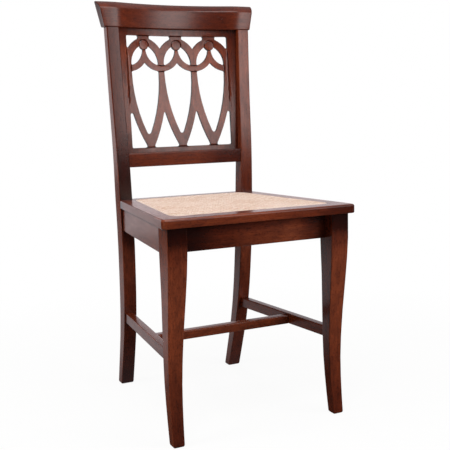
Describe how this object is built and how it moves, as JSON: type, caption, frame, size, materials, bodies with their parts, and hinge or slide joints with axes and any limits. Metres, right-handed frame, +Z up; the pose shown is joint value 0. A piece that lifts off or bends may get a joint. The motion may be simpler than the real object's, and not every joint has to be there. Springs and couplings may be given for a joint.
{
  "type": "side chair",
  "caption": "Armless dining chair with tapered sabre legs, a woven cane seat, a pierced arcaded back panel and a dished, rolled crest rail.",
  "frame": {"origin": "on the floor, in the middle of the box round the chair", "axes": "+Z up, +Y from the seat's front edge towards the back, +X to the right as the chair is seen from the front, square to its middle plane"},
  "size_m": [0.4342, 0.468, 0.909],
  "materials": {
    "stained_beech": "satin lacquer over a red-brown stain",
    "cane": "natural, lightly varnished"
  },
  "bodies": {
    "root": {"front_leg_left": "stained_beech", "front_leg_right": "stained_beech", "rear_leg_left": "stained_beech", "rear_leg_right": "stained_beech", "front_rail": "stained_beech", "rear_rail": "stained_beech", "side_rail_left": "stained_beech", "side_rail_right": "stained_beech", "corner_block_front_left": "stained_beech", "corner_block_front_right": "stained_beech", "corner_block_rear_left": "stained_beech", "corner_block_rear_right": "stained_beech", "side_stretcher_left": "stained_beech", "side_stretcher_right": "stained_beech", "cross_stretcher": "stained_beech", "seat_front": "stained_beech", "seat_rear": "stained_beech", "seat_side_left": "stained_beech", "seat_side_right": "stained_beech", "cane_panel": "cane", "cane_spline": "cane", "lower_back_rail": "stained_beech", "fretwork_panel": "stained_beech", "crest_rail": "stained_beech"}
  },
  "joints": []
}
